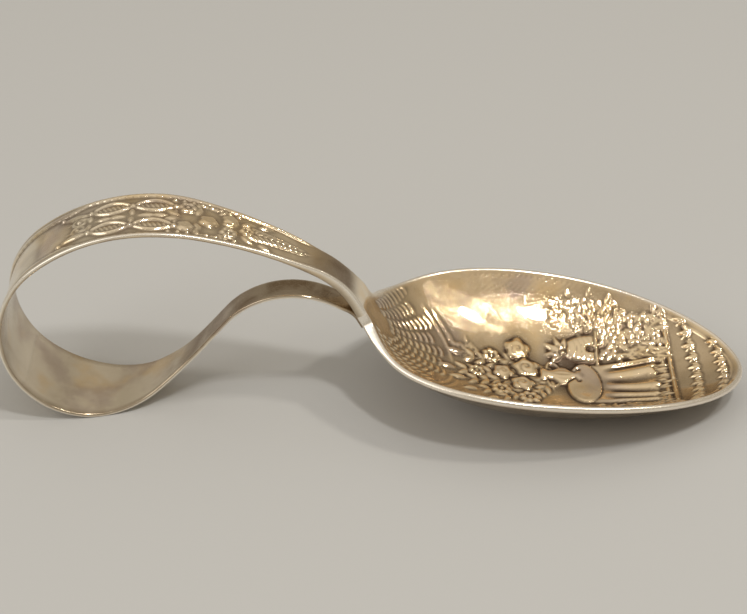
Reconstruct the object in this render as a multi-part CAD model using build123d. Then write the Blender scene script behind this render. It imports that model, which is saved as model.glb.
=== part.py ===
from build123d import *
import math
import os

# Souvenir spoon with a curved loop handle, in millimetres.
# It lies as it does on a table, on the bottom of its loop and the belly of its bowl.
# +X runs along the spoon towards the bowl's tip, Y across it and +Z up.
# The origin is on the table, under the middle of the spoon's length and width.

# Bowl: egg-shaped from above, with the pointed end forward, measured inside the rim
BOWL_WIDTH = 29.1
BOWL_WIDEST_X = 19.3
BOWL_BACK = 19.9  # length behind the widest place
BOWL_FRONT = 26.38  # length ahead of the widest place
BACK_FULLNESS = 2.2  # powers of the outline's superellipses, where 2 is an ellipse
FRONT_FULLNESS = 1.9
BOWL_DEPTH = 7.45
BOWL_ROUNDNESS = 1.2  # 1 makes a paraboloid, more makes a flatter bottom
BOWL_WALL = 0.8
END_SOFTENING = 0.05  # how gently the hollow flattens out at the neck and the tip
TIP_LENGTH = 2.0  # the stretch at the tip that keeps one cross curve
NECK_OVERLAP = 0.5  # how far the faces run up the neck before they are cut off
SURFACE_ROWS = 60
SURFACE_COLUMNS = 16  # on each side of the middle

# Rim: its height falls towards the tip, and rises steeply into the neck
RIM_HEIGHT = 10.355  # at x = 0, apart from the rise to the neck
RIM_SLOPE = 0.032
RIM_DROOP = 0.0022
NECK_SLOPE = 1.2
NECK_BEND_X = 1.1
NECK_BEND_LENGTH = 1.0

# Neck: the line where the bowl's stamping runs into the handle's
NECK_X = -1.2
NECK_WIDTH = 6.1
NECK_THICKNESS = 1.35
NECK_TAPER = 3.0  # the length over which the wall thins into the bowl
SHOULDER_POWER = 6  # how tightly the bowl's outline turns into the neck

# Handle: the outer face of the strap, seen from the side, from the neck round to the end.
# Each entry is a radius with the angle turned, or a length with no turn.
HANDLE_ARCS = [
    (13.4, 33.7),
    (58.8, 15.5),
    (22.8, 53.9),
    (13.13, 20.8),
    (11.76, 157.4),
    (36.6, 12.9),
    (4.5, 0.0),
    (10.4, -78.0),
    (1.95, 0.0),
    (3.0, -34.5),
    (1.2, 0.0),
]
# Strap sections: distance along the outer face, width and thickness
HANDLE_SECTIONS = [
    (0.0, 6.1, 1.35),
    (1.1, 5.6, 1.35),
    (2.5, 5.1, 1.35),
    (4.5, 4.7, 1.3),
    (8.2, 4.9, 1.1),
    (11.8, 6.3, 0.7),
    (18.0, 7.5, 0.55),
    (28.0, 9.5, 0.55),
    (38.0, 9.8, 0.55),
    (48.0, 10.4, 0.55),
    (60.0, 12.4, 0.55),
    (68.0, 12.5, 0.55),
    (73.0, 11.6, 0.5),
    (77.5, 9.5, 0.5),
    (82.0, 6.8, 0.5),
    (87.0, 4.3, 0.5),
    (92.0, 3.8, 0.5),
    (104.0, 3.8, 0.5),
    (115.0, 3.4, 0.5),
]
# Sections are never further apart than these
SECTION_TURN = 9.0
SECTION_LENGTH = 2.4

# Solder: the pad that fills the wedge between the handle's end and the neck's back
SOLDER_WIDTH = 3.0
SOLDER_REACH = 3.2  # how far it runs back from the handle's end
SOLDER_RISE = 0.5  # how far above the bowl's cut it climbs the neck
SOLDER_TOE_X = -0.3  # its lowest place on the back of the bowl


def rim_height(x):
    rise = NECK_SLOPE * NECK_BEND_LENGTH * math.log1p(math.exp((NECK_BEND_X - x) / NECK_BEND_LENGTH))
    return RIM_HEIGHT - RIM_SLOPE * x - RIM_DROOP * x**2 + rise


def along_bowl(x):
    """0 at the widest place, -1 at the back of the egg and 1 at the tip."""
    return (x - BOWL_WIDEST_X) / (BOWL_BACK if x < BOWL_WIDEST_X else BOWL_FRONT)


def half_width(x):
    """Half the bowl's width, from the neck's width through the shoulders to the tip."""
    power, neck = (BACK_FULLNESS, NECK_WIDTH / 2) if x < BOWL_WIDEST_X else (FRONT_FULLNESS, 0)
    egg = BOWL_WIDTH / 2 * max(1 - abs(along_bowl(x)) ** power, 0) ** (1 / power)
    return (egg**SHOULDER_POWER + neck**SHOULDER_POWER) ** (1 / SHOULDER_POWER)


def cross_curve(x):
    """How fast the hollow rises towards the rim on either side, level past the neck and the tip."""
    x = min(x, BOWL_WIDEST_X + BOWL_FRONT - TIP_LENGTH)
    fall = 1 - along_bowl(x) ** 2
    return (fall + math.hypot(fall, END_SOFTENING)) / 2 / half_width(x) ** 2


def hollow_height(x, y):
    """Height of the bowl's inside face, which carries on up the front of the neck."""
    spread = along_bowl(x) ** 2 + cross_curve(x) * y**2
    return rim_height(x) - BOWL_DEPTH * (1 - spread**BOWL_ROUNDNESS)


def hollow_slopes(x, y, step=0.001):
    slope_x = (hollow_height(x + step, y) - hollow_height(x - step, y)) / (2 * step)
    slope_y = (hollow_height(x, y + step) - hollow_height(x, y - step)) / (2 * step)
    return slope_x, slope_y


def wall_thickness(x):
    """The wall is BOWL_WALL thick, and thickens smoothly to the neck."""
    part = min(max((x - NECK_X) / NECK_TAPER, 0), 1)
    return BOWL_WALL + (NECK_THICKNESS - BOWL_WALL) * (1 - part**2 * (3 - 2 * part))


def inside_point(x, y):
    return (x, y, hollow_height(x, y))


def outside_point(x, y):
    """The point on the outer face straight behind an inside point, square to the wall."""
    slope_x, slope_y = hollow_slopes(x, y)
    reach = wall_thickness(x) / math.sqrt(1 + slope_x**2 + slope_y**2)
    return (x + reach * slope_x, y + reach * slope_y, hollow_height(x, y) - reach)


def surface(point):
    """A smooth face through a grid of points, closer together towards the rim and both ends."""
    first_x = NECK_X - NECK_OVERLAP
    last_x = BOWL_WIDEST_X + BOWL_FRONT * 0.9999
    grid = []
    for i in range(SURFACE_ROWS + 1):
        part = (1 - math.cos(math.pi * i / SURFACE_ROWS)) / 2
        x = first_x + (last_x - first_x) * part
        turns = [math.pi / 2 * j / SURFACE_COLUMNS for j in range(-SURFACE_COLUMNS, SURFACE_COLUMNS + 1)]
        grid.append([point(x, half_width(x) * math.sin(turn)) for turn in turns])
    return Face.make_surface_from_array_of_points(grid, tol=0.002, min_deg=3, max_deg=3)


def outermost_edge(face, direction):
    return max(face.edges(), key=lambda edge: edge.center().dot(Vector(direction)))


def neck_plane():
    """The cut between bowl and handle. Its normal points up the handle."""
    slope = hollow_slopes(NECK_X, 0)[0]
    return Plane(
        origin=inside_point(NECK_X, 0),
        x_dir=(0, 1, 0),
        z_dir=(-1, 0, -slope),
    )


def bowl():
    inside = surface(inside_point)
    outside = surface(outside_point)
    lips = []
    for direction in [(-1, 0, 0), (1, 0, 0), (0, -1, 0), (0, 1, 0)]:
        edges = [outermost_edge(face, direction) for face in (inside, outside)]
        lips.append(Face.make_surface_from_curves(*edges))
    wall = Solid(Shell([inside, outside, *lips]))
    return wall.split(neck_plane(), keep=Keep.BOTTOM)


def arc_length(radius, turn):
    return radius * math.radians(abs(turn)) if turn else radius


def handle_length():
    return sum(arc_length(*arc) for arc in HANDLE_ARCS)


def handle_point(distance):
    """Position and heading on the strap's outer face, a given distance from the neck."""
    x, _, z = inside_point(NECK_X, 0)
    heading = math.atan2(-hollow_slopes(NECK_X, 0)[0], -1)
    for radius, turn in HANDLE_ARCS:
        run = min(distance, arc_length(radius, turn))
        if turn:
            side = math.copysign(1, turn)
            after = heading + side * run / radius
            x += side * radius * (math.sin(after) - math.sin(heading))
            z -= side * radius * (math.cos(after) - math.cos(heading))
            heading = after
        else:
            x += run * math.cos(heading)
            z += run * math.sin(heading)
        distance -= run
        if distance <= 0:
            break
    return x, z, heading


def strap_size(distance):
    """Width and thickness of the strap, between the stated sections."""
    for (start, width, thickness), (end, next_width, next_thickness) in zip(
        HANDLE_SECTIONS, HANDLE_SECTIONS[1:]
    ):
        if distance <= end:
            part = (distance - start) / (end - start)
            return (
                width + (next_width - width) * part,
                thickness + (next_thickness - thickness) * part,
            )
    return HANDLE_SECTIONS[-1][1:]


def strap_middle(distance):
    """The point halfway through the strap's thickness."""
    x, z, heading = handle_point(distance)
    half = strap_size(distance)[1] / 2
    return (x - half * math.sin(heading), 0, z + half * math.cos(heading))


def strap_section(distance):
    heading = handle_point(distance)[2]
    width, thickness = strap_size(distance)
    plane = Plane(
        origin=strap_middle(distance),
        x_dir=(0, 1, 0),
        z_dir=(math.cos(heading), 0, math.sin(heading)),
    )
    return plane * Rectangle(width, thickness)


def handle_strap():
    distances = [0]
    for arc in HANDLE_ARCS:
        start = distances[-1]
        length = arc_length(*arc)
        count = math.ceil(max(abs(arc[1]) / SECTION_TURN, length / SECTION_LENGTH))
        distances += [start + length * (i + 1) / count for i in range(count)]
    return loft([strap_section(distance) for distance in distances])


def wall_middle(x):
    """The point halfway through the bowl's wall, on the spoon's middle line."""
    inside = inside_point(x, 0)
    outside = outside_point(x, 0)
    return ((inside[0] + outside[0]) / 2, 0, (inside[2] + outside[2]) / 2)


def tip_solder(bowl_solid, strap_solid):
    """The solder between the handle's end, its near side, and the neck and bowl, its far side."""
    end = handle_length()
    steps = 6
    near_side = [strap_middle(end - SOLDER_REACH * (1 - i / steps)) for i in range(steps)]
    near_side.append(strap_middle(end - 0.05))
    far_side = [outside_point(SOLDER_TOE_X, 0), wall_middle(SOLDER_TOE_X), wall_middle(NECK_X)]
    far_side.append(strap_middle(SOLDER_RISE))
    outline = make_face(Polyline(*near_side, *far_side, close=True))
    blank = extrude(outline, amount=SOLDER_WIDTH / 2, both=True)
    return (blank - strap_solid - bowl_solid).solids().sort_by(SortBy.VOLUME)[-1]


def main():
    os.makedirs("parts", exist_ok=True)
    bowl_solid = bowl()
    strap_solid = handle_strap()
    nodes = {
        "bowl": bowl_solid,
        "handle_strap": strap_solid,
        "tip_solder": tip_solder(bowl_solid, strap_solid),
    }
    for name, shape in nodes.items():
        export_step(shape, f"parts/{name}.step")


main()
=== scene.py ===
import math

import bmesh
import bpy
import numpy as np
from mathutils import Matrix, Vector


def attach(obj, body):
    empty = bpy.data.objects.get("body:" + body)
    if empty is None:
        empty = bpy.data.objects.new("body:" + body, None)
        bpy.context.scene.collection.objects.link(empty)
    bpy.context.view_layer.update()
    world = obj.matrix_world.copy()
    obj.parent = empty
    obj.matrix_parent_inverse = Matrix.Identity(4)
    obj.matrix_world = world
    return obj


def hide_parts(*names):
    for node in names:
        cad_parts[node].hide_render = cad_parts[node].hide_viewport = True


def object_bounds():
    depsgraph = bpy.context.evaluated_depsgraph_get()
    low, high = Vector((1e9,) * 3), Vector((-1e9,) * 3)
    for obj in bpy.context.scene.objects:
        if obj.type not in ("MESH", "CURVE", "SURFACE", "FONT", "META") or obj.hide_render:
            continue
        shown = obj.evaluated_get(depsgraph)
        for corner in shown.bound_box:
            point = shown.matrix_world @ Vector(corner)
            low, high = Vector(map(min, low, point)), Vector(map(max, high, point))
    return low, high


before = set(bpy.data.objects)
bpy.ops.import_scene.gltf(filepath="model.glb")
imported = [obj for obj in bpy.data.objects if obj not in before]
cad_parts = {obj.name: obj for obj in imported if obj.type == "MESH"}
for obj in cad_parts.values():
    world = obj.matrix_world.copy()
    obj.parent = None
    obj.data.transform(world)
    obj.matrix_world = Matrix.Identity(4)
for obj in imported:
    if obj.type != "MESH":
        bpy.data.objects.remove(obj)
cad_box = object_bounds()

# Souvenir spoon with a curved loop handle: the CAD model's three solids get their looks here.
# Shapes are worked out in millimetres, in the CAD model's frame, and become metres in skin().
MM = 0.001

# ---------------------------------------------------------------- sizes, as in the CAD model
BOWL_WIDTH = 29.1  # inside the rim
BOWL_WIDEST_X = 19.3
BOWL_BACK = 19.9
BOWL_FRONT = 26.38
BACK_FULLNESS = 2.2
FRONT_FULLNESS = 1.9
BOWL_DEPTH = 7.45
BOWL_ROUNDNESS = 1.2
BOWL_WALL = 0.8
END_SOFTENING = 0.05
TIP_LENGTH = 2.0
TIP_X = BOWL_WIDEST_X + BOWL_FRONT
RIM_HEIGHT = 10.355
RIM_SLOPE = 0.032
RIM_DROOP = 0.0022
NECK_SLOPE = 1.2
NECK_BEND_X = 1.1
NECK_BEND_LENGTH = 1.0
NECK_X = -1.2
NECK_WIDTH = 6.1
NECK_THICKNESS = 1.35
NECK_TAPER = 3.0
# The strap's outer face from the neck: a radius with the angle turned, or a length with no turn
HANDLE_ARCS = [
    (13.4, 33.7), (58.8, 15.5), (22.8, 53.9), (13.13, 20.8), (11.76, 157.4), (36.6, 12.9),
    (4.5, 0.0), (10.4, -78.0), (1.95, 0.0), (3.0, -34.5), (1.2, 0.0),
]
SOLDER_WIDTH = 3.0
SOLDER_REACH = 3.2  # how far it runs back from the handle's end
SOLDER_RISE = 0.5  # how far it climbs the neck
SOLDER_TOE_X = -0.3  # its lowest place on the back of the bowl

# ---------------------------------------------------------------- sizes that differ from the CAD model
# The bowl's shoulders turn more gently into the neck, and the strap's first 2.5 mm are wider to
# meet them. The edges, which are square in the CAD model, are rounded.
SHOULDER_POWER = 3.5
SHOULDER_SOFTENING = 0.04
# Strap sections after the neck: distance along the outer face, width and thickness
HANDLE_SECTIONS = [
    (0.5, 6.1, 1.35), (1.2, 5.8, 1.35), (1.9, 5.42, 1.35), (2.5, 5.12, 1.35), (4.5, 4.7, 1.3),
    (8.2, 4.9, 1.1), (11.8, 6.3, 0.7), (18.0, 7.5, 0.55), (28.0, 9.5, 0.55), (38.0, 9.8, 0.55),
    (48.0, 10.4, 0.55), (60.0, 12.4, 0.55), (68.0, 12.5, 0.55), (73.0, 11.6, 0.5), (77.5, 9.5, 0.5),
    (82.0, 6.8, 0.5), (87.0, 4.3, 0.5), (92.0, 3.8, 0.5), (104.0, 3.8, 0.5), (115.0, 3.4, 0.5),
]
NECK_LAP = 0.25  # how far the handle's end is sunk into the bowl's neck
RIM_CORNER = 0.37  # radii of the rounded edges
NECK_CORNER = 0.26
CORNER_SHARE = 0.42  # a strap corner's radius is never more of the thickness than this

# ---------------------------------------------------------------- mesh steps
BOWL_ROW_STEP = 0.125
TIP_ROWS = 35
TIP_ROWS_LENGTH = 2.2
BOWL_COLUMNS = 172
RIM_COLUMNS = 14  # more columns beside each rim, for its rounded lip
RIM_BAND = 0.035  # the share of the half width that they cover
OUTSIDE_COLUMNS = 36
STRAP_COLUMNS = 72  # on the strap's outer face
INNER_COLUMNS = 14  # on its inner face
CORNER_STEPS = 4
SOLDER_ROWS = 17
SOLDER_STEPS = 9

random = np.random.default_rng(34)


def smooth(low, high, value):
    """0 up to low, 1 from high on, and a smooth rise between."""
    part = np.clip((value - low) / (high - low), 0, 1)
    return part * part * (3 - 2 * part)


# ---------------------------------------------------------------- relief shapes
GROOVE = 0.16  # the width of the groove around each raised shape
GROOVE_DEPTH = 0.85  # the share of what is under it that it cuts away


class Field:
    """Heights over a grid of places, in millimetres. u runs along the spoon and v across it.

    Each shape is pressed over the ones before it, with a narrow groove around it."""

    def __init__(self, u, v):
        self.u = u
        self.v = v
        self.height = np.zeros_like(u)

    def turned(self, place, angle):
        """Coordinates along and across a shape at a place, turned by an angle in degrees."""
        du = self.u - place[0]
        dv = self.v - place[1]
        cos, sin = math.cos(math.radians(angle)), math.sin(math.radians(angle))
        return du * cos + dv * sin, dv * cos - du * sin

    def press(self, spread, shape, groove):
        """A shape inside spread = 1. The groove is a share of the shape's own size."""
        cover = 1 - smooth(1.0, 1.0 + groove, spread)
        self.height = np.maximum(self.height * (1 - GROOVE_DEPTH * cover), shape)

    def dome(self, place, size, height, angle=0.0, fullness=2.0):
        along, across = self.turned(place, angle)
        spread = np.hypot(along / size[0], across / size[1])
        shape = height * (1 - np.clip(spread, 0, 1) ** fullness)
        self.press(spread, shape, GROOVE / min(size))

    def leaf(self, base, length, width, height, angle, bend=0.0):
        """A pointed leaf with a rib along its middle, from its base. bend is how far its tip swings."""
        along, across = self.turned(base, angle)
        part = np.clip(along / length, 0, 1)
        across = across - bend * part**2
        half = width / 2 * np.sin(np.pi * part**0.8) + 0.02
        past = np.maximum(np.maximum(along - length, -along), 0)
        spread = np.hypot(across / half, past / 0.1)
        inside = np.clip(1 - spread**2, 0, 1)
        rib = 1 - 0.4 * np.exp(-((across / 0.1) ** 2))
        swell = 0.75 + 0.25 * np.sin(np.pi * part)
        self.press(spread, height * inside**0.5 * rib * swell, GROOVE / (width / 2))

    def stroke(self, points, width, height, taper=True):
        """A raised line along points, thinner towards both ends."""
        points = np.asarray(points, float)
        runs = np.hypot(*(points[1:] - points[:-1]).T)
        travelled = np.concatenate([[0], np.cumsum(runs)])
        best = np.full_like(self.u, np.inf)
        part = np.zeros_like(self.u)
        for start, end, run, gone in zip(points[:-1], points[1:], runs, travelled):
            step = (end - start) / max(run, 1e-9)
            near = np.clip((self.u - start[0]) * step[0] + (self.v - start[1]) * step[1], 0, run)
            away = np.hypot(self.u - start[0] - near * step[0], self.v - start[1] - near * step[1])
            closer = away < best
            best = np.where(closer, away, best)
            part = np.where(closer, (gone + near) / travelled[-1], part)
        swell = 0.35 + 0.65 * (4 * part * (1 - part)) ** 0.5 if taper else 1.0
        spread = best / (width / 2 * swell)
        self.press(spread, height * swell * (1 - np.clip(spread, 0, 1) ** 2), GROOVE / (width / 2))

    def daisy(self, place, radius, petals, height, angle=0.0):
        """Round petals about a raised middle."""
        along, across = self.turned(place, angle)
        spread = np.hypot(along, across) / radius
        turn = np.arctan2(across, along)
        edge = 0.72 + 0.28 * np.abs(np.cos(petals * turn / 2)) ** 0.6
        cut = 1 - 0.6 * np.exp(-((np.cos(petals * turn / 2) / 0.25) ** 2))
        cup = 0.55 + 0.45 * smooth(0.2, 0.7, spread)
        shape = height * np.clip(1 - (spread / edge) ** 6, 0, 1) ** 0.5 * cut * cup
        self.press(spread / edge, shape, GROOVE / radius)
        self.dome(place, (radius * 0.3, radius * 0.3), height * 1.1)

    def rose(self, place, radius, height, angle=0.0):
        """Petals wound about the middle."""
        along, across = self.turned(place, angle)
        spread = np.hypot(along, across) / radius
        turn = np.arctan2(across, along)
        edge = 0.9 + 0.1 * np.cos(5 * turn)
        wound = np.abs(np.sin(np.pi * (2.3 * spread**0.85 - turn / (2 * np.pi)))) ** 0.6
        shape = height * np.clip(1 - (spread / edge) ** 4, 0, 1) ** 0.6 * (0.6 + 0.4 * wound)
        self.press(spread / edge, shape, GROOVE / radius)

    def beads(self, places, radius, height):
        for place in places:
            self.dome(place, (radius, radius), height, fullness=2.5)


def curve(start, middle, end, count=10):
    """Points on a curve from start to end that is drawn towards middle."""
    part = np.linspace(0, 1, count)[:, None]
    start, middle, end = (np.array(point, float) for point in (start, middle, end))
    return (1 - part) ** 2 * start + 2 * part * (1 - part) * middle + part**2 * end


def arc(centre, radius, first, last, count=10):
    """Points on a circle, between two angles in degrees."""
    turns = np.radians(np.linspace(first, last, count))
    return np.stack([centre[0] + radius * np.cos(turns), centre[1] + radius * np.sin(turns)], 1)


def softened(values):
    """The worn look of struck detail: each height mixed with its neighbours."""
    padded = np.pad(values, 1, "edge")
    mixed = (padded[:-2] + 2 * padded[1:-1] + padded[2:]) / 4
    return (mixed[:, :-2] + 2 * mixed[:, 1:-1] + mixed[:, 2:]) / 4


def averaged(values, reach_rows, reach_columns):
    """The mean of each value's surroundings, taken twice for a soft window."""
    for _ in range(2):
        for axis, reach in ((0, reach_rows), (1, reach_columns)):
            padded = np.pad(values, [(reach, reach) if a == axis else (0, 0) for a in (0, 1)], "edge")
            total = np.cumsum(np.insert(padded, 0, 0, axis=axis), axis=axis)
            size = values.shape[axis]
            span = 2 * reach + 1
            upper = np.take(total, np.arange(span, size + span), axis=axis)
            lower = np.take(total, np.arange(0, size), axis=axis)
            values = (upper - lower) / span
    return values


# ---------------------------------------------------------------- bowl surface
def rim_height(x):
    rise = NECK_SLOPE * NECK_BEND_LENGTH * np.log1p(np.exp((NECK_BEND_X - x) / NECK_BEND_LENGTH))
    return RIM_HEIGHT - RIM_SLOPE * x - RIM_DROOP * x**2 + rise


def along_bowl(x):
    """0 at the widest place, -1 at the back of the egg and 1 at the tip."""
    return (x - BOWL_WIDEST_X) / np.where(x < BOWL_WIDEST_X, BOWL_BACK, BOWL_FRONT)


def half_width(x):
    """Half the bowl's width, from the neck's width through the shoulders to the tip."""
    behind = x < BOWL_WIDEST_X
    power = np.where(behind, BACK_FULLNESS, FRONT_FULLNESS)
    neck = np.where(behind, NECK_WIDTH / 2, 0.0)
    fall = 1 - np.abs(along_bowl(x)) ** power
    soft_fall = (fall + np.hypot(fall, SHOULDER_SOFTENING)) / 2
    fall = np.where(behind, soft_fall, np.maximum(fall, 0))
    egg = BOWL_WIDTH / 2 * fall ** (1 / power)
    return (egg**SHOULDER_POWER + neck**SHOULDER_POWER) ** (1 / SHOULDER_POWER)


def cross_curve(x):
    """How fast the hollow rises towards the rim on either side."""
    x = np.minimum(x, TIP_X - TIP_LENGTH)
    fall = 1 - along_bowl(x) ** 2
    return (fall + np.hypot(fall, END_SOFTENING)) / 2 / half_width(x) ** 2


def hollow_height(x, y):
    """Height of the bowl's inside face, which carries on up the front of the neck."""
    spread = along_bowl(x) ** 2 + cross_curve(x) * y**2
    return rim_height(x) - BOWL_DEPTH * (1 - spread**BOWL_ROUNDNESS)


def hollow_slopes(x, y, step=0.001):
    slope_x = (hollow_height(x + step, y) - hollow_height(x - step, y)) / (2 * step)
    slope_y = (hollow_height(x, y + step) - hollow_height(x, y - step)) / (2 * step)
    return slope_x, slope_y


# The neck's front at its middle, where the handle begins, and its slope
NECK_HEIGHT = float(hollow_height(NECK_X, 0.0))
NECK_RISE = float(hollow_slopes(NECK_X, 0.0)[0])


def wall_thickness(x):
    return BOWL_WALL + (NECK_THICKNESS - BOWL_WALL) * (1 - smooth(NECK_X, NECK_X + NECK_TAPER, x))


def rim_distance(x, y):
    """How far a place is from the rim, measured over the bowl's surface."""
    step = 1e-4
    half = half_width(x)
    spread = (half_width(x - step) - half_width(np.minimum(x + step, TIP_X))) / (2 * step)
    out_x, out_y = half * spread, y
    size = np.hypot(out_x, out_y) + 1e-6
    slope_x, slope_y = hollow_slopes(x, y)
    climb = (slope_x * out_x + slope_y * out_y) / size
    return np.maximum(half**2 - y**2, 0) / (2 * size) * np.sqrt(1 + climb**2)


def bowl_rows():
    """Places along the bowl, closer together at the tip, where the outline is blunt."""
    straight = TIP_X - TIP_ROWS_LENGTH
    even = np.linspace(NECK_X, straight, round((straight - NECK_X) / BOWL_ROW_STEP) + 1)
    part = np.arange(1, TIP_ROWS + 1) / TIP_ROWS
    return np.concatenate([even, TIP_X - TIP_ROWS_LENGTH * (1 - part) ** 2])


def bowl_columns():
    """Shares of the half width, closer together beside each rim."""
    even = np.linspace(-(1 - RIM_BAND), 1 - RIM_BAND, BOWL_COLUMNS)
    part = np.arange(1, RIM_COLUMNS + 1) / RIM_COLUMNS
    side = 1 - RIM_BAND * (1 - part) ** 1.6
    return np.concatenate([-side[::-1], even, side])


# ---------------------------------------------------------------- the picture in the bowl
STRIKE = 1.3  # how boldly it is struck
FAN_CENTRE = (-1.0, 0.0)
FAN_REACH = 65  # degrees to either side of the middle
FAN_STEP = 13  # degrees between its flutes
TABLE_MIDDLE_Y = -0.3
TABLE_EDGE_X = 28.4
TABLE_DEPTH = 2.2  # half its top's length along the spoon, as it is seen at a slant
TABLE_CENTRE_X = TABLE_EDGE_X - 2.1
HEM_X = 35.5
GROUND_SIDE = (35.4, 11.9)  # where the ground meets the bowl's side
GROUND_BOW_X = 37.6  # its line is drawn towards this
VASE_OUTLINE = [  # distance down from its lip, and half width
    (0.0, 1.35), (0.35, 1.3), (0.9, 0.85), (1.4, 1.0), (2.4, 1.75), (3.1, 1.7), (4.0, 0.8),
    (4.3, 0.65), (4.55, 1.15), (4.9, 1.2),
]


def neck_fan(field):
    """A shell of flutes that fan out from the neck, each a ladder of short curved bars."""
    for k, turn in enumerate(range(-FAN_REACH, FAN_REACH + 1, FAN_STEP)):
        bars = 9 - (k % 2)
        for i in range(bars):
            radius = 3.0 + 0.78 * i + 0.2 * (k % 3)
            middle = arc(FAN_CENTRE, radius + 0.22 + 0.03 * i, turn, turn, 1)[0]
            ends = arc(FAN_CENTRE, radius, turn - 5.2, turn + 5.2, 2)
            field.stroke(curve(ends[0], middle, ends[1], 5), 0.42, 0.2)
    for radius, first, last in [(10.6, 6, 50), (11.5, 14, 44), (10.6, -50, -6), (11.5, -44, -14)]:
        field.stroke(arc(FAN_CENTRE, radius, first, last), 0.5, 0.11)


def spray(field, base, angle, length, bend, leaf_size, height):
    """A stem with pairs of leaves, which bends to one side."""
    lean = math.radians(angle)
    forward = np.array([math.cos(lean), math.sin(lean)])
    side = np.array([-forward[1], forward[0]])
    base = np.array(base, float)
    count = max(4, round(length / (0.62 * leaf_size)))
    stem = curve(base, base + length / 2 * forward, base + length * forward + bend * side, count)
    field.stroke(stem, 0.28, height * 0.7)
    for i in range(1, count):
        run = stem[i] - stem[i - 1]
        heading = math.degrees(math.atan2(run[1], run[0]))
        size = leaf_size * (1.1 - 0.35 * i / count)
        for turn in (-50, 50):
            field.leaf(stem[i - 1], size, size * 0.45, height, heading + turn, -0.004 * turn * size)
    field.leaf(stem[-1], leaf_size, leaf_size * 0.42, height, heading)


def bouquet(field, base):
    """Sprays of leaves that fan out of the vase towards the neck, with flowers over them."""
    for angle, length, bend, leaf_size in [
        (168, 11.6, 0.8, 2.1), (184, 12.6, 0.6, 2.3), (200, 11.6, -0.9, 2.2), (216, 11.0, -1.5, 2.1),
        (232, 9.6, -1.6, 2.0), (154, 7.2, 0.8, 1.9), (250, 6.6, -1.0, 1.8),
    ]:
        spray(field, base, angle, length, bend, leaf_size, 0.25)
    for x, y, radius in [(19.1, -3.9, 1.5), (15.6, -2.6, 1.35), (14.6, 4.0, 1.2), (12.6, 0.6, 1.1)]:
        field.daisy((x, y), radius, 7, 0.34, 40 * radius)
    for x, y, radius in [(16.0, 1.3, 1.5), (18.4, -0.7, 1.7), (18.0, 5.6, 1.75), (19.0, 2.6, 1.9)]:
        field.rose((x, y), radius, 0.42, 90 * radius)


def vase(field, lip):
    """A fluted vase with two curved handles."""
    along, across = field.turned(lip, 0)
    down, half = np.array(VASE_OUTLINE).T
    past = np.maximum(np.maximum(along - down[-1], -along), 0)
    spread = np.hypot(across / np.interp(along, down, half), past / 0.12)
    belly = smooth(1.0, 1.6, along) * (1 - smooth(3.7, 4.1, along))
    flutes = 1 - 0.16 * belly * np.cos(7 * np.arcsin(np.clip(spread, 0, 1))) ** 2
    for side in (-1, 1):
        top, end = (lip[0] + 0.7, lip[1] + side), (lip[0] + 2.2, lip[1] + 1.7 * side)
        field.stroke(curve(top, (lip[0] + 0.9, lip[1] + 3.3 * side), end), 0.34, 0.3, taper=False)
    field.press(spread, 0.45 * np.sqrt(np.clip(1 - spread**2, 0, 1)) * flutes, 0.12)


def draped_table(field):
    """A round table under a cloth: a smooth top, and folds that flare out to a wavy hem."""
    along, across = field.turned((TABLE_CENTRE_X, TABLE_MIDDLE_Y), 0)
    top = np.hypot(along / TABLE_DEPTH, across / 4.2)
    down = np.clip((field.u - TABLE_EDGE_X) / (HEM_X - TABLE_EDGE_X), 0, 1)
    flare = 4.1 + 0.9 * down
    share = across / flare
    turn = np.arcsin(np.clip(share, -1, 1))
    waves = np.cos(11 * turn + 0.7 * np.sin(2.4 * down + 3 * turn))
    folds = 0.24 + 0.15 * smooth(0, 0.35, down) * waves
    hem = HEM_X + 0.28 * waves
    curved_edge = TABLE_CENTRE_X + TABLE_DEPTH * np.sqrt(np.clip(1 - share**2, 0, 1))
    past = np.maximum(np.maximum(field.u - hem, curved_edge - field.u), 0)
    spread = np.hypot(np.abs(share) ** 6, past / 0.2)
    field.press(spread, folds * np.clip(1 - spread**2, 0, 1) ** 0.4, 0.05)
    border = 0.03 * np.exp(-(((hem - 0.75 - field.u) / 0.12) ** 2)) * (np.abs(share) < 0.97)
    field.height += border
    lip = 0.07 * np.exp(-(((top - 0.95) / 0.05) ** 2))
    field.press(top, 0.36 * np.clip(1 - top**10, 0, 1) ** 0.5 + lip * (top < 1), 0.05)


def beehive(field, place):
    """A straw beehive, a dome of rounds on a board, with a small door."""
    along, across = field.turned(place, 0)
    part = np.clip((along + 2.6) / 4.2, 0, 1)
    half = 2.0 * np.sqrt(np.clip(1 - (1 - part) ** 2.4, 0, 1)) + 0.02
    past = np.maximum(np.maximum(along - 1.6, -2.6 - along), 0)
    spread = np.hypot(across / half, past / 0.1)
    rounds = 0.8 + 0.2 * np.abs(np.sin(np.pi * (along + 0.22 * across**2) / 0.7)) ** 0.6
    field.press(spread, 0.44 * np.clip(1 - spread**2.4, 0, 1) ** 0.5 * rounds, 0.1)
    x, y = place
    field.stroke([(x + 1.85, y - 2.3), (x + 1.85, y + 2.3)], 0.5, 0.34, taper=False)
    field.dome((x + 1.1, y), (0.5, 0.36), 0.2, fullness=6)


def tulip(field, place, angle):
    """An open flower of five long petals."""
    for turn in (-62, 62, -32, 32, 0):
        field.leaf(place, 2.7 - 0.008 * abs(turn), 0.95, 0.34, angle + turn, 0.006 * turn)
    field.dome(place, (0.45, 0.45), 0.38)


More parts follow.
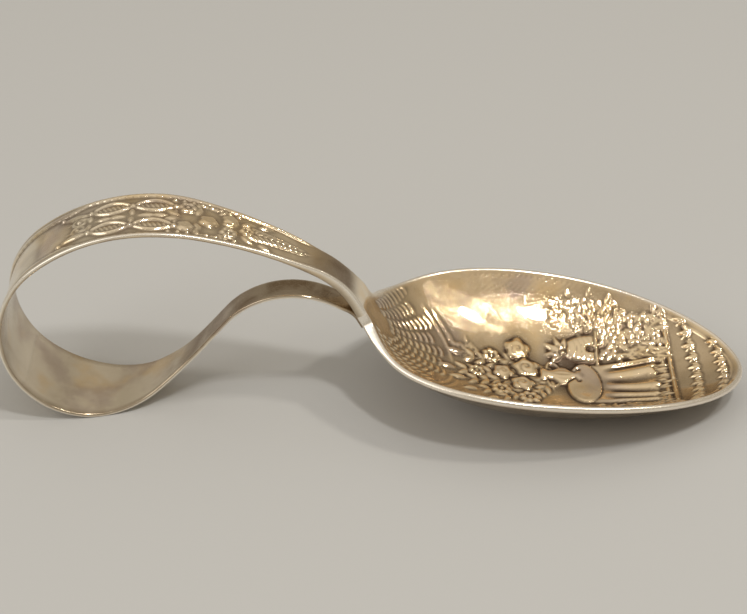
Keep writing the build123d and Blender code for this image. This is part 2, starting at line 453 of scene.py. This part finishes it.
def foliage(field, place, size, count, leaf_size, height):
    """A cloud of small leaves within an ellipse, denser at its middle."""
    for _ in range(count):
        turn = random.uniform(0, 2 * math.pi)
        reach = random.random() ** 0.6
        x = place[0] + size[0] * reach * math.cos(turn)
        y = place[1] + size[1] * reach * math.sin(turn)
        length = leaf_size * random.uniform(0.75, 1.25)
        lean = random.uniform(0, 360)
        rise = height * random.uniform(0.7, 1)
        field.leaf((x, y), length, length * 0.5, rise, lean, random.uniform(-0.2, 0.2))


def tree(field, foot, top, side):
    """A trunk with two boughs, under a cloud of leaves."""
    foot, top = np.array(foot), np.array(top)
    field.stroke(curve(foot, (foot + top) / 2 + (0, 0.5), top), 0.9, 0.3, taper=False)
    bough = top + 0.35 * (foot - top)
    field.stroke(curve(bough, bough + (-1.5, 0.8 * side), top + (-0.5, 1.6 * side)), 0.45, 0.26)
    field.stroke(curve(bough, bough + (-1.2, -0.9 * side), top + (0.3, -1.8 * side)), 0.45, 0.26)


def grass(field, corner, opposite, count):
    """Blades that stand between two corners of a patch."""
    low, high = np.array(corner), np.array(opposite)
    for _ in range(count):
        place = low + (high - low) * random.random(2)
        length = random.uniform(1.0, 2.4)
        height = random.uniform(0.2, 0.32)
        lean = 180 + random.uniform(-18, 18)
        field.leaf(place + (length, 0), length, 0.4, height, lean, random.uniform(-0.5, 0.5))


def ground_lines(field):
    """The ground under the picture, and the two raised lines that close it off."""
    for shift, width, height in [(0.1, 0.42, 0.24), (1.0, 0.5, 0.3)]:
        x, y = GROUND_SIDE[0] + shift, GROUND_SIDE[1]
        points = curve((x, y), (GROUND_BOW_X + shift, 0.0), (x, -y), 20)
        field.stroke(points, width, height, taper=False)


def sprig_row(field, centre_x, bend, places, length):
    """A row of small three-leaved sprigs with beads between, in a slight bow."""
    for i, y in enumerate(places):
        x = centre_x - bend * y**2
        lean = math.degrees(math.atan(2 * bend * y)) * 0.6
        for turn in (-38, 38, 0):
            size = length * (1.0 if turn == 0 else 0.8)
            field.leaf((x + length / 2, y), size, 0.5, 0.3, 180 - lean + turn)
        if i + 1 < len(places):
            between = (y + places[i + 1]) / 2
            field.dome((centre_x + 0.3 * length - bend * between**2, between), (0.22, 0.22), 0.24)


def rim_hatching(field, edge):
    """Long slanting cuts beside the rim over the widest part of the bowl."""
    zone = smooth(11, 15, field.u) * (1 - smooth(24, 28, field.u))
    band = smooth(0.7, 1.2, edge) * (1 - smooth(1.8, 3.4, edge))
    cuts = np.clip(np.sin(2 * np.pi * (field.u + 1.3 * edge + 0.3 * np.sin(field.u)) / 0.85), 0, 1) ** 1.5
    field.height += 0.06 * zone * band * cuts


def bowl_picture(x, y, edge):
    """The struck relief, as a height over the hollow: a vase of flowers on a table in a garden."""
    field = Field(x, y)
    neck_fan(field)
    for side in (-1, 1):
        tree(field, (36.3, 9.2 * side), (28.2, 9.6 * side), side)
        foliage(field, (31.5, 7.6 * side), (5.2, 3.2), 130, 0.95, 0.26)
        foliage(field, (25.4, 10.7 * side), (4.0, 1.7), 60, 0.85, 0.17)
        foliage(field, (29.4, 9.6 * side), (3.2, 1.9), 60, 0.95, 0.3)
        foliage(field, (34.6, 6.8 * side), (1.9, 4.0), 70, 0.95, 0.3)
        grass(field, (30.5, 4.2 * side), (34.5, 6.6 * side), 26)
    foliage(field, (11.2, 4.4), (1.9, 1.6), 22, 1.0, 0.16)
    bouquet(field, (22.4, 1.6))
    beehive(field, (26.4, 6.1))
    tulip(field, (23.9, 5.6), 152)
    draped_table(field)
    vase(field, (20.9, 1.6))
    ground_lines(field)
    grass(field, (34.9, -10.5), (35.6, 10.5), 60)
    sprig_row(field, 40.2, 0.018, np.arange(-8.5, 8.6, 1.7), 1.6)
    sprig_row(field, 43.4, 0.034, np.arange(-4.8, 4.9, 1.6), 1.4)
    rim_hatching(field, edge)
    rim_line = np.exp(-(((edge - 1.25) / 0.16) ** 2)) * smooth(33, 37, x)
    field.height += 0.06 * rim_line
    return STRIKE * softened(field.height) * smooth(0.35, 0.9, edge)


def waviness(x, y):
    """The slow unevenness of a struck and polished surface."""
    wave = np.sin(0.9 * x + 0.5 * y + 1.3) + np.sin(0.35 * x - 0.8 * y)
    return 0.006 * (wave + 0.6 * np.sin(1.5 * y - 0.6 * x + 2))


# ---------------------------------------------------------------- mesh helpers
def skin(name, rings, values, first_cap=True, last_cap=True):
    """A closed mesh over rings of points, in millimetres, with values at its points.

    A piece whose first or last ring is a single point needs no cap there."""
    rows, columns = rings.shape[:2]
    index = np.arange(rows * columns).reshape(rows, columns)
    beside = np.roll(index, -1, axis=1)
    quads = np.stack([index[:-1], beside[:-1], beside[1:], index[1:]], axis=-1).reshape(-1, 4)
    caps = [index[0].tolist()[::-1]] * first_cap + [index[-1].tolist()] * last_cap
    mesh = bpy.data.meshes.new(name)
    mesh.from_pydata((rings.reshape(-1, 3) * MM).tolist(), [], quads.tolist() + caps)
    for label, numbers in values.items():
        layer = mesh.attributes.new(label, "FLOAT", "POINT")
        layer.data.foreach_set("value", np.asarray(numbers, np.float32).ravel())
    shape = bmesh.new()
    shape.from_mesh(mesh)
    bmesh.ops.remove_doubles(shape, verts=shape.verts, dist=1e-7)
    bmesh.ops.recalc_face_normals(shape, faces=shape.faces)
    for face in shape.faces:
        face.smooth = True
        if len(face.verts) > 4:
            for edge in face.edges:
                edge.smooth = False
    shape.to_mesh(mesh)
    shape.free()
    piece = bpy.data.objects.new(name, mesh)
    bpy.context.scene.collection.objects.link(piece)
    return piece


def edge_drop(distance, corner):
    """How far a face falls away beside a rounded edge."""
    return corner - np.sqrt(corner**2 - np.clip(corner - distance, 0, corner) ** 2)


def hollows(height, reach_rows, reach_columns, depth):
    """0 on open ground and high places, 1 in the hollows beside high places."""
    return np.clip((averaged(height, reach_rows, reach_columns) - height) / depth, 0, 1)


# ---------------------------------------------------------------- bowl
def bowl_piece():
    """The bowl's skin: its inside with the picture, then its outside, in rings across it."""
    rows = bowl_rows()
    inside = bowl_columns()
    outside = np.sin(np.linspace(np.pi / 2, -np.pi / 2, OUTSIDE_COLUMNS))
    shares = np.concatenate([inside, outside])
    x = np.repeat(rows[:, None], len(shares), axis=1)
    y = half_width(x) * shares
    slope_x, slope_y = hollow_slopes(x, y)
    size = np.sqrt(1 + slope_x**2 + slope_y**2)
    edge = rim_distance(x, y)
    wall = wall_thickness(x)
    corner = RIM_CORNER + (NECK_CORNER - RIM_CORNER) * (1 - smooth(NECK_X, 3.0, x))
    drop = edge_drop(edge, corner)
    count = len(inside)
    relief = np.zeros_like(x)
    relief[:, :count] = bowl_picture(x[:, :count], y[:, :count], edge[:, :count])
    relief += waviness(x, y) * smooth(0.5, 2.0, edge)
    depth = np.where(np.arange(len(shares)) < count, drop, wall - drop) - relief
    z = hollow_height(x, y) - depth / size
    rings = np.stack([x + depth * slope_x / size, y + depth * slope_y / size, z], axis=-1)
    cavity = np.zeros_like(x)
    narrow = hollows(relief[:, :count], 3, 3, 0.1)
    wide = hollows(relief[:, :count], 9, 9, 0.3)
    cavity[:, :count] = np.maximum(narrow, wide) * smooth(0.5, 1.0, edge[:, :count])
    worn = np.clip(relief / 0.4, 0, 1)
    is_outside = np.broadcast_to(np.arange(len(shares)) >= count, x.shape)
    # The rim's lip: rubbed bright by wear, and a painted highlight
    lip = 1 - smooth(0.15, 0.6, edge)
    # Painted shade: the outside of the bowl, which lies in its own shadow over the floor, is darkened,
    # all but its rim
    painted_shade = 0.9 * is_outside * (1 - lip)
    golden = smooth(-0.5, 4.0, x)
    values = {"cavity": cavity, "worn": worn, "lip": lip, "painted_shade": painted_shade, "golden": golden}
    return skin("spoon_bowl", rings, values, last_cap=False)


# ---------------------------------------------------------------- handle
def arc_length(radius, turn):
    return radius * math.radians(abs(turn)) if turn else radius


def handle_length():
    return sum(arc_length(*stretch) for stretch in HANDLE_ARCS)


def handle_path(distances):
    """Places and headings on the strap's outer face."""
    result = []
    for distance in distances:
        x, z, heading = NECK_X, NECK_HEIGHT, math.atan2(-NECK_RISE, -1)
        for radius, turn in HANDLE_ARCS:
            run = min(distance, arc_length(radius, turn))
            if turn:
                side = math.copysign(1, turn)
                after = heading + side * run / radius
                x += side * radius * (math.sin(after) - math.sin(heading))
                z -= side * radius * (math.cos(after) - math.cos(heading))
                heading = after
            else:
                x += run * math.cos(heading)
                z += run * math.sin(heading)
            distance -= run
            if distance <= 0:
                break
        result.append((x, z, heading))
    return np.array(result).T


def strap_sizes(distances):
    """Width and thickness, as smooth curves through the sections."""
    neck = (0.0, 2 * float(half_width(NECK_X)), NECK_THICKNESS)
    table = np.array([neck, *HANDLE_SECTIONS])
    step = 0.1
    fine = np.arange(-6, table[-1, 0] + 6, step)
    sizes = []
    for column in (1, 2):
        size = np.interp(fine, table[:, 0], table[:, column])
        # A short window from the neck on, and a long one where the strap is thin
        for length, first in [(2.0, 0.0), (6.0, 9.0)]:
            window = np.hanning(round(length / step) + 1)
            soft = np.convolve(size, window / window.sum(), mode="same")
            size = size + (soft - size) * smooth(first, first + 2, fine)
        sizes.append(np.interp(distances, fine, size))
    return sizes


# ---------------------------------------------------------------- the ornament on the handle
GROUND = 0.25  # how far the ground lies below the strap's plain face
BORDER_RISE = 0.85 * GROUND
ORNAMENT_STRIKE = 1.2  # how boldly it is struck
ORNAMENT_RISE = 0.34  # no part of it rises more than this from the ground
LANE = 2.15  # how far the two chains of ovals lie from the middle
OVAL_LENGTH = 5.3
CHAIN_START = 26.8


def leaf_spray(field):
    """Pairs of leaves that taper to a point towards the neck."""
    field.stroke([(9.4, 0.0), (18.0, 0.0)], 0.3, 0.24)
    for i, s in enumerate(np.arange(10.0, 17.5, 0.82)):
        size = 0.95 + 0.17 * i
        for side in (-1, 1):
            field.leaf((s + 1.2, 0.1 * side), size, 0.52 + 0.03 * i, 0.28, 180 - 33 * side, 0.15 * side)


def flower_cluster(field):
    """Flowers and leaves that fill the strap between the spray and the chains."""
    for s, y, turn in [
        (18.6, 1.2, 150), (18.6, -1.2, 210), (21.4, 2.2, 128), (21.4, -2.2, 232), (23.6, 1.3, 60),
        (23.6, -1.3, 300), (24.4, 2.4, 120), (24.4, -2.4, 240), (26.3, 0.3, 20), (26.3, -0.3, 340),
        (21.0, 0.4, 170), (21.0, -0.4, 190), (23.0, 2.9, 60), (23.0, -2.9, 300), (22.4, 2.9, 150),
        (22.4, -2.9, 210), (24.2, 0.9, 100), (24.2, -0.9, 260), (19.6, 0.3, 100), (19.6, -0.3, 260),
        (16.4, 1.9, 160), (16.4, -1.9, 200),
    ]:
        field.leaf((s, y), 1.9, 0.85, 0.26, turn, 0.2)
    for s, y, radius in [(17.9, 0.1, 0.95), (20.2, -1.45, 1.1), (25.4, 2.15, 1.2)]:
        field.daisy((s, y), radius, 6, 0.32, 50 * radius)
    for s, y, radius in [(20.1, 1.5, 1.1), (22.7, 0.0, 1.3), (25.5, -2.05, 1.2)]:
        field.rose((s, y), radius, 0.34, 90 * radius)
    for s in np.arange(19.0, 27.6, 1.15):
        reach = 0.42 * s**0.65
        field.beads([(s, reach), (s + 0.35, -reach)], 0.34, 0.28)


def oval_chains(field):
    """Two chains of long ovals, each made of two ribbons that cross."""
    length = 2 * OVAL_LENGTH
    s = np.linspace(0, length, 27)
    for lane in (-LANE, LANE):
        for i in (0.5, 1.5):
            centre = (CHAIN_START + i * OVAL_LENGTH, lane)
            for shift in np.arange(-1.5, 1.6, 0.6):
                start = (centre[0] + shift - 0.3, lane - 0.45)
                field.stroke([start, (centre[0] + shift + 0.3, lane + 0.45)], 0.3, 0.2)
        for side in (-1, 1):
            swing = 1.12 * side * np.sin(np.pi * s / OVAL_LENGTH)
            field.stroke(np.stack([CHAIN_START + s, lane + swing], 1), 0.46, 0.3, taper=False)
        for i in range(3):
            field.beads([(CHAIN_START + i * OVAL_LENGTH, lane)], 0.42, 0.34)
    for i in (0.5, 1.5):
        middle = CHAIN_START + i * OVAL_LENGTH
        field.leaf((middle + 0.2, 0.0), 2.2, 0.7, 0.26, 180)
        field.leaf((middle - 0.2, 0.0), 2.2, 0.7, 0.26, 0)
    for side in (-1, 1):
        for i in range(3):
            field.leaf((CHAIN_START + i * OVAL_LENGTH, 0.25 * side), 1.4, 0.6, 0.24, 90 * side)


def end_scrolls(field):
    """Scrolls where the chains end, and long leaves that run into the plain channel."""
    start = CHAIN_START + 2 * OVAL_LENGTH
    for side in (-1, 1):
        field.leaf((start + 0.2, LANE * side), 3.6, 1.0, 0.28, -6 * side, 0.9 * side)
        field.leaf((start, 1.1 * side), 3.0, 0.8, 0.26, 10 * side, -0.7 * side)
        field.stroke(arc((start + 1.4, 0.9 * side), 0.8, 100 * side, -190 * side, 14), 0.42, 0.26)
        field.beads([(start + 1.5, 0.9 * side), (start + 3.9, 2.9 * side)], 0.36, 0.3)


def handle_ornament(along, across, half):
    """Raised borders, a spray of leaves, flowers, two chains of ovals and a plain channel."""
    field = Field(along, across)
    leaf_spray(field)
    oval_chains(field)
    flower_cluster(field)
    end_scrolls(field)
    side = half - np.abs(across)
    scallops = 0.12 * np.abs(np.sin(np.pi * along / 0.95)) * smooth(14, 18, along)
    border = 0.6 + scallops + 0.85 * smooth(37.5, 41, along)
    spread = side / border
    rounding = np.clip(1 - np.clip(spread, 0, 1) ** 8, 0, 1) ** 0.5
    field.press(spread, BORDER_RISE * rounding, 0.25)
    groove = np.exp(-(((side - 0.62) / 0.14) ** 2)) * smooth(37.5, 40, along)
    field.height -= 0.09 * groove
    shown = smooth(8.5, 11.5, along) * (1 - smooth(53, 59, along))
    height = softened(np.clip(ORNAMENT_STRIKE * field.height, 0, ORNAMENT_RISE))
    return (height - GROUND) * shown


def handle_rows():
    """Places along the strap, closest together under the ornament and at its end."""
    end = handle_length()
    parts = [
        [-NECK_LAP],
        np.arange(0, 8, 0.2),
        np.arange(8, 54, 0.13),
        np.arange(54, end - 9, 0.45),
        np.linspace(end - 9, end, 40),
    ]
    return np.concatenate(parts)


def strap_outline(half, thick):
    """The strap's sections, once round from the outer face: places across and depths below it."""
    corner = np.minimum(NECK_CORNER, thick * CORNER_SHARE)
    flat = half - corner
    turns = np.radians(np.linspace(0, 90, CORNER_STEPS + 2)[1:-1])
    face = flat * np.linspace(-1, 1, STRAP_COLUMNS)
    back = flat * np.linspace(1, -1, INNER_COLUMNS)
    near, far = flat + corner * np.sin(turns), flat + corner * np.cos(turns)
    near_depth, far_depth = corner * (1 - np.cos(turns)), thick - corner * (1 - np.sin(turns))
    side = np.concatenate([near, half, half, half, far], axis=1)
    side_depth = [near_depth, corner, thick / 2, thick - corner, far_depth]
    side_depth = np.concatenate(side_depth, axis=1)
    across = [face, side, back, -side[:, ::-1]]
    depth = [0 * face, side_depth, thick + 0 * back, side_depth[:, ::-1]]
    return np.concatenate(across, axis=1), np.concatenate(depth, axis=1)


def handle_wear_and_shading(along, side, part):
    """Where the handle is worn bright with a painted highlight, where painted shade darkens it, and where
    it is golden. part is the depth's share of the thickness.
    """
    is_face = np.arange(along.shape[1]) < STRAP_COLUMNS
    # Painted shade: the outer face just past the neck, the inner face, more so in the loop and towards
    # the end, the lower half of each side, and the last few millimetres before the end
    shaded_neck = smooth(1.5, 4, along) * (1 - smooth(7, 12, along))
    loop_shade = 0.3 * smooth(46, 52, along) * (1 - smooth(60, 66, along))
    inner_shade = 0.25 + loop_shade + 0.75 * smooth(80, 90, along)
    side_shade = 0.7 * smooth(0.35, 0.7, part)
    end_shade = smooth(along[-1] - 5, along[-1] - 2.5, along)
    painted_shade = np.where(is_face, shaded_neck, np.where(side < 0.3, side_shade, inner_shade))
    # The strap's edges along its outer face: rubbed bright by wear, and a painted highlight
    lip = (1 - smooth(0.1, 0.45, side)) * (1 - smooth(0.2, 0.5, part)) * (1 - end_shade)
    # Painted warm reflection: a golden stretch from the neck to the chains of ovals
    golden = 0.6 * smooth(3, 9, along) * (1 - smooth(28, 42, along))
    return {"lip": lip, "painted_shade": np.maximum(painted_shade, end_shade), "golden": golden}


def handle_piece():
    """The strap's skin, in rings square to its path, with the ornament on its outer face."""
    rows = handle_rows()
    x, z, heading = handle_path(rows)
    width, thickness = strap_sizes(rows)
    half = width[:, None] / 2
    thick = thickness[:, None]
    across, depth = strap_outline(half, thick)
    along = np.repeat(rows[:, None], across.shape[1], axis=1)
    count = STRAP_COLUMNS
    relief = np.zeros_like(across)
    relief[:, :count] = handle_ornament(along[:, :count], across[:, :count], half)
    uneven = 0.5 * waviness(along, across) * smooth(0, 3, along)
    relief[:, :count] += uneven[:, :count]
    # The first stretch takes on the slight hollow that the bowl's neck has
    hollow = hollow_height(NECK_X, across) - NECK_HEIGHT
    depth = depth - relief - hollow / np.hypot(1, NECK_RISE) * (1 - smooth(0, 3, along))
    sin, cos = np.sin(heading)[:, None], np.cos(heading)[:, None]
    rings = np.stack([x[:, None] - sin * depth, across, z[:, None] + cos * depth], axis=-1)
    cavity = np.zeros_like(across)
    cavity[:, :count] = hollows(relief[:, :count], 3, 3, 0.07)
    values = {"cavity": cavity, "worn": np.clip((relief + GROUND) / GROUND, 0, 1)}
    values.update(handle_wear_and_shading(along, half - np.abs(across), depth / thick))
    return skin("spoon_handle", rings, values)


# ---------------------------------------------------------------- solder
def strap_middle(distances):
    """Points halfway through the strap's thickness, as x and z."""
    x, z, heading = handle_path(distances)
    half = strap_sizes(distances)[1] / 2
    return np.stack([x - half * np.sin(heading), z + half * np.cos(heading)], axis=-1)


def wall_place(x, share):
    """A point on the spoon's middle line, a share of the way through the bowl's wall."""
    slope = hollow_slopes(x, 0.0)[0]
    reach = share * wall_thickness(x) / math.hypot(1, slope)
    return np.array([[x + reach * slope, hollow_height(x, 0.0) - reach]])


def solder_piece():
    """The solder that fills the wedge between the handle's end and the neck, with hollow faces."""
    end = handle_length()
    rings = []
    for turn in np.radians(np.linspace(-90, 90, SOLDER_ROWS)):
        size = max(math.cos(turn), 0.03) ** 0.5
        near_side = strap_middle(np.linspace(end - SOLDER_REACH * size, end - 0.05, SOLDER_STEPS))
        toe_x = NECK_X + (SOLDER_TOE_X - NECK_X) * size
        top = strap_middle(np.array([SOLDER_RISE * size]))
        inner = np.concatenate([wall_place(toe_x, 0.6), wall_place(NECK_X, 0.5), top])
        sag = (near_side[-1] + inner[0]) / 2 + (-0.15, 0.15)
        below = curve(near_side[-1], sag, wall_place(toe_x, 0.95)[0], 4)
        sag = near_side[SOLDER_STEPS // 2] + (0.0, 0.35)
        above = curve(top[0], sag, near_side[0], SOLDER_STEPS)
        outline = np.concatenate([near_side[:-1], below, inner, above[1:-1]])
        y = np.full((len(outline), 1), SOLDER_WIDTH / 2 * math.sin(turn))
        rings.append(np.concatenate([outline[:, :1], y, outline[:, 1:]], axis=1))
    rings = np.array(rings)
    # Both ends close in a point inside the strap
    for end_ring in (rings[0], rings[-1]):
        end_ring[:] = end_ring[SOLDER_STEPS - 3]
    flat = np.zeros(rings.shape[:2])
    # Painted shade: the solder sits in the shaded wedge behind the neck, so it is darkened evenly
    values = {"cavity": flat, "worn": flat, "lip": flat, "painted_shade": flat + 0.4, "golden": flat}
    return skin("spoon_solder", rings, values, first_cap=False, last_cap=False)


# ---------------------------------------------------------------- materials
WARM_SILVER = (0.95, 0.85, 0.68, 1)
GREY_SILVER = (0.78, 0.74, 0.66, 1)
GOLDEN = (0.96, 0.76, 0.50, 1)
AMBER = (0.95, 0.68, 0.34, 1)  # patches of patina
DUSK = (0.58, 0.47, 0.42, 1)
TARNISH = (0.50, 0.37, 0.22, 1)
# Painted shade: the dark brown laid where the metal lies in shade or mirrors dark surroundings
SHADE_TONE = (0.24, 0.165, 0.095, 1)
# Lips: rubbed bright by wear, and a painted highlight
WEAR_AND_HIGHLIGHT = (1.0, 0.95, 0.87, 1)  # along the lips
HOLLOW = (0.09, 0.055, 0.035, 1)  # beside raised shapes
SCRATCH = (1.0, 0.93, 0.8, 1)
SCRATCH_TURNS = [(0, 0, 0.3), (0.4, 0.2, 1.4), (0, 0.5, 2.4)]


class Nodes:
    """A short way to make and link shader nodes."""

    def __init__(self, name):
        self.material = bpy.data.materials.new(name)
        self.material.use_nodes = True
        self.tree = self.material.node_tree
        self.shader = self.tree.nodes["Principled BSDF"]

    def node(self, kind, inputs=(), **settings):
        node = self.tree.nodes.new("ShaderNode" + kind)
        for key, value in settings.items():
            setattr(node, key, value)
        for key, value in dict(inputs).items():
            self.put(node.inputs[key], value)
        return node

    def put(self, socket, value):
        if isinstance(value, bpy.types.NodeSocket):
            self.tree.links.new(value, socket)
        else:
            socket.default_value = value

    def maths(self, operation, first, second, clamp=False):
        node = self.node("Math", operation=operation, use_clamp=clamp)
        self.put(node.inputs[0], first)
        self.put(node.inputs[1], second)
        return node.outputs[0]

    def mix(self, factor, first, second):
        node = self.node("Mix", data_type="RGBA")
        self.put(node.inputs[0], factor)
        self.put(node.inputs[6], first)
        self.put(node.inputs[7], second)
        return node.outputs[2]

    def ramp(self, value, low, high):
        """0 below low, 1 above high, and a smooth rise between."""
        node = self.node("MapRange", {"Value": value, "From Min": low, "From Max": high})
        node.interpolation_type = "SMOOTHSTEP"
        return node.outputs["Result"]

    def noise(self, scale, detail=3.0, stretch=(1, 1, 1), turn=(0, 0, 0), distortion=0.0):
        place = self.node("TexCoord").outputs["Object"]
        mapping = self.node("Mapping", {"Vector": place, "Scale": stretch, "Rotation": turn})
        texture = self.node("TexNoise", {"Scale": scale, "Detail": detail, "Distortion": distortion})
        self.put(texture.inputs["Vector"], mapping.outputs["Vector"])
        return texture.outputs["Fac"]

    def attribute(self, name):
        return self.node("Attribute", attribute_name=name).outputs["Fac"]


def silver(name, tone, roughness, depth):
    """Old silver: bright along its lips from wear and a painted highlight, dark in its hollows from
    patina, dark brown where painted shade is laid, with patches of patina and fine scratches.

    depth says how dark the hollows are."""
    n = Nodes(name)
    cavity = n.attribute("cavity")
    worn = n.attribute("worn")
    cloud = n.ramp(n.noise(260, 4, distortion=0.6), 0.35, 0.7)
    speck = n.ramp(n.noise(2600, 2), 0.62, 0.75)
    stain = n.maths("MULTIPLY", cloud, 0.35)
    stain = n.maths("ADD", stain, n.maths("MULTIPLY", speck, 0.15))
    stain = n.maths("SUBTRACT", stain, n.maths("MULTIPLY", worn, 0.25), clamp=True)
    tone = n.mix(n.attribute("golden"), tone, GOLDEN)
    amber = n.maths("MULTIPLY", n.ramp(n.noise(170, 3, turn=(0.4, 0.2, 0.9)), 0.5, 0.68), 0.5)
    tone = n.mix(amber, tone, AMBER)
    dusk = n.maths("MULTIPLY", n.ramp(n.noise(140, 4, turn=(1.2, 0.5, 0.1)), 0.52, 0.68), 0.55)
    tone = n.mix(dusk, tone, DUSK)
    colour = n.mix(stain, tone, TARNISH)
    # Painted shade, mottled by the cloud: darker brown where the metal lies in shade or mirrors dark
    # surroundings
    patchy = n.maths("ADD", 0.72, n.maths("MULTIPLY", cloud, 0.28))
    shade_amount = n.maths("MULTIPLY", n.attribute("painted_shade"), patchy)
    colour = n.mix(shade_amount, colour, SHADE_TONE)
    lip = n.attribute("lip")
    # Lips lightened towards near white: wear, and a painted highlight
    colour = n.mix(n.maths("MULTIPLY", lip, 0.8), colour, WEAR_AND_HIGHLIGHT)
    dark = n.maths("MULTIPLY", n.maths("POWER", cavity, 0.6), depth, clamp=True)
    colour = n.mix(dark, colour, HOLLOW)
    marks = 0.0
    for i, turn in enumerate(SCRATCH_TURNS):
        line = n.noise(900 + 170 * i, 2, stretch=(1, 14, 14), turn=turn)
        marks = n.maths("MAXIMUM", marks, n.ramp(line, 0.63, 0.70))
    colour = n.mix(n.maths("MULTIPLY", marks, 0.12), colour, SCRATCH)
    n.put(n.shader.inputs["Base Color"], colour)
    n.shader.inputs["Metallic"].default_value = 1.0
    rough = n.maths("ADD", roughness, n.maths("MULTIPLY", cloud, 0.06))
    for part, share in [(cavity, 0.3), (lip, 0.18), (shade_amount, 0.1), (marks, 0.08)]:
        rough = n.maths("ADD", rough, n.maths("MULTIPLY", part, share), clamp=True)
    n.put(n.shader.inputs["Roughness"], rough)
    fine = n.node("Bump", {"Strength": 0.05, "Distance": 0.00004, "Height": n.noise(5200, 3)})
    dents = n.node("Bump", {"Strength": 0.15, "Distance": 0.00006, "Height": n.noise(620, 2)})
    n.put(dents.inputs["Normal"], fine.outputs["Normal"])
    cuts = n.node("Bump", {"Strength": 0.12, "Distance": 0.00003, "Height": marks}, invert=True)
    n.put(cuts.inputs["Normal"], dents.outputs["Normal"])
    n.put(n.shader.inputs["Normal"], cuts.outputs["Normal"])
    return n.material


# ---------------------------------------------------------------- floor, lights and camera, in metres
FLOOR_REACH = 3.0
FLOOR_TONE = (0.55, 0.55, 0.545, 1)
LIGHT_DISTANCE = 0.7
WORLD_SHADES = [  # 0.0 is the horizon and below it, and 1.0 is straight overhead
    (0.0, (0.46, 0.425, 0.37, 1)),
    (0.5, (0.37, 0.335, 0.275, 1)),
    (0.76, (0.54, 0.495, 0.425, 1)),
    (1.0, (0.7, 0.66, 0.59, 1)),
]
CAMERA_ELEVATION = 34.0
CAMERA_DISTANCE = 0.25
CAMERA_LENS = 97.83
TARGET_HEIGHT = 0.01284
TARGET_SHIFT = -0.0004  # from the middle of the spoon's length


def floor_piece():
    corners = [(-1, -1), (1, -1), (1, 1), (-1, 1)]
    places = [(FLOOR_REACH * x, FLOOR_REACH * y, 0.0) for x, y in corners]
    mesh = bpy.data.meshes.new("floor")
    mesh.from_pydata(places, [], [(0, 1, 2, 3)])
    floor = bpy.data.objects.new("floor", mesh)
    bpy.context.scene.collection.objects.link(floor)
    n = Nodes("floor")
    n.shader.inputs["Base Color"].default_value = FLOOR_TONE
    n.shader.inputs["Roughness"].default_value = 0.75
    mesh.materials.append(n.material)


def area_light(name, azimuth, elevation, target, size, power, colour):
    """A light aimed at the target. Azimuth 0 is behind the spoon and 90 is beyond its tip."""
    turn, lift = math.radians(azimuth), math.radians(elevation)
    flat = LIGHT_DISTANCE * math.cos(lift)
    height = LIGHT_DISTANCE * math.sin(lift)
    away = Vector((flat * math.sin(turn), flat * math.cos(turn), height))
    light = bpy.data.lights.new(name, "AREA")
    light.shape = "RECTANGLE"
    light.size, light.size_y = size
    light.energy = power
    light.color = colour
    lamp = bpy.data.objects.new(name, light)
    lamp.location = target + away
    lamp.rotation_euler = (-away).to_track_quat("-Z", "Y").to_euler()
    bpy.context.scene.collection.objects.link(lamp)


def world_light():
    """A warm studio: brightest overhead, and dimmest halfway between there and the horizon."""
    world = bpy.data.worlds.new("studio")
    world.use_nodes = True
    tree = world.node_tree
    direction = tree.nodes.new("ShaderNodeTexCoord").outputs["Generated"]
    parts = tree.nodes.new("ShaderNodeSeparateXYZ")
    tree.links.new(direction, parts.inputs[0])
    ramp = tree.nodes.new("ShaderNodeValToRGB")
    tree.links.new(parts.outputs["Z"], ramp.inputs["Fac"])
    for place, _ in WORLD_SHADES[2:]:
        ramp.color_ramp.elements.new(place)
    for element, (place, shade) in zip(ramp.color_ramp.elements, WORLD_SHADES):
        element.position = place
        element.color = shade
    tree.links.new(ramp.outputs["Color"], tree.nodes["Background"].inputs["Color"])
    tree.nodes["Background"].inputs["Strength"].default_value = 1.0
    bpy.context.scene.world = world


def camera(target):
    data = bpy.data.cameras.new("camera")
    data.lens = CAMERA_LENS
    data.sensor_width = 36
    data.clip_start = 0.005
    data.clip_end = 20
    view = bpy.data.objects.new("camera", data)
    lift = math.radians(CAMERA_ELEVATION)
    away = Vector((0, -math.cos(lift), math.sin(lift))) * CAMERA_DISTANCE
    view.location = target + away
    view.rotation_euler = (-away).to_track_quat("-Z", "Y").to_euler()
    bpy.context.scene.collection.objects.link(view)
    bpy.context.scene.camera = view


low, high = cad_box
centre_x = (low[0] + high[0]) / 2
middle = Vector((centre_x, 0, 0.01))

for piece, tone, roughness, depth, slot, node in [
    (bowl_piece(), WARM_SILVER, 0.045, 1.0, "bowl_silver", "bowl"),
    (handle_piece(), WARM_SILVER, 0.07, 0.6, "handle_silver", "handle_strap"),
    (solder_piece(), GREY_SILVER, 0.25, 0.5, "solder_silver", "tip_solder"),
]:
    piece.data.materials.append(silver(slot, tone, roughness, depth))
    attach(piece, "root")
    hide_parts(node)

floor_piece()
world_light()
for name, azimuth, elevation, size, power, colour in [
    ("key", 96, 56, (0.06, 0.06), 0.76, (1.0, 0.95, 0.86)),
    ("key_front", 143, 67, (0.045, 0.09), 1.15, (1.0, 0.98, 0.94)),
    ("side", -118, 36, (0.6, 0.4), 1.0, (1.0, 0.98, 0.95)),
]:
    area_light(name, azimuth, elevation, middle, size, power, colour)
camera(Vector((centre_x + TARGET_SHIFT, 0, TARGET_HEIGHT)))
bpy.context.scene.view_settings.view_transform = "Standard"
